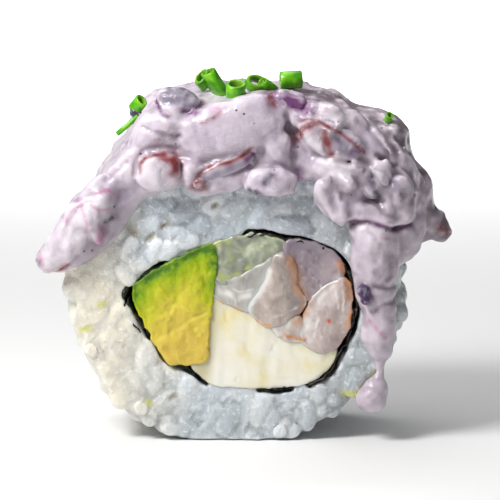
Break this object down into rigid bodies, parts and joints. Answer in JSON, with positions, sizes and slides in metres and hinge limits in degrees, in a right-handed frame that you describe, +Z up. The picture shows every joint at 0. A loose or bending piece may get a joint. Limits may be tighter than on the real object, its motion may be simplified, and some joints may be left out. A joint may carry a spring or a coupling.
{
  "type": "uramaki roll",
  "caption": "Slice of inside-out sushi roll standing on its round side, filled with avocado, cream cheese and shrimp, under a dripping mauve octopus cream with chopped chives.",
  "frame": {"origin": "on the ground in the middle of the flat under the roll, below the middle of its length", "axes": "+Z up; +Y goes into the roll from the cut face that is seen first, along the roll's length; +X to the right of that face"},
  "size_m": [0.0647, 0.0334, 0.0579],
  "materials": {
    "rice": "moist cooked rice, satin",
    "nori": "damp seaweed sheet, dull",
    "avocado": "cut avocado flesh, satin",
    "cream_cheese": "smooth soft cheese, matt",
    "lettuce": "wet pale leaf, glossy",
    "shrimp": "translucent shrimp flesh, wet",
    "cream": "thick pale mauve cream, glossy",
    "octopus": "cooked octopus slices, wet"
  },
  "bodies": {
    "root": {"rice": "rice", "nori": "nori", "avocado": "avocado", "cream_cheese": "cream_cheese", "lettuce": "lettuce", "shrimp_left": "shrimp", "shrimp_middle": "shrimp", "shrimp_upper": "shrimp", "shrimp_lower": "shrimp", "shrimp_small": "shrimp", "cream": "cream", "octopus_top_left": "octopus", "octopus_left": "octopus", "octopus_middle": "octopus", "octopus_low": "octopus", "octopus_right": "octopus", "octopus_top_right": "octopus", "octopus_side": "octopus", "octopus_back": "octopus"}
  },
  "joints": []
}
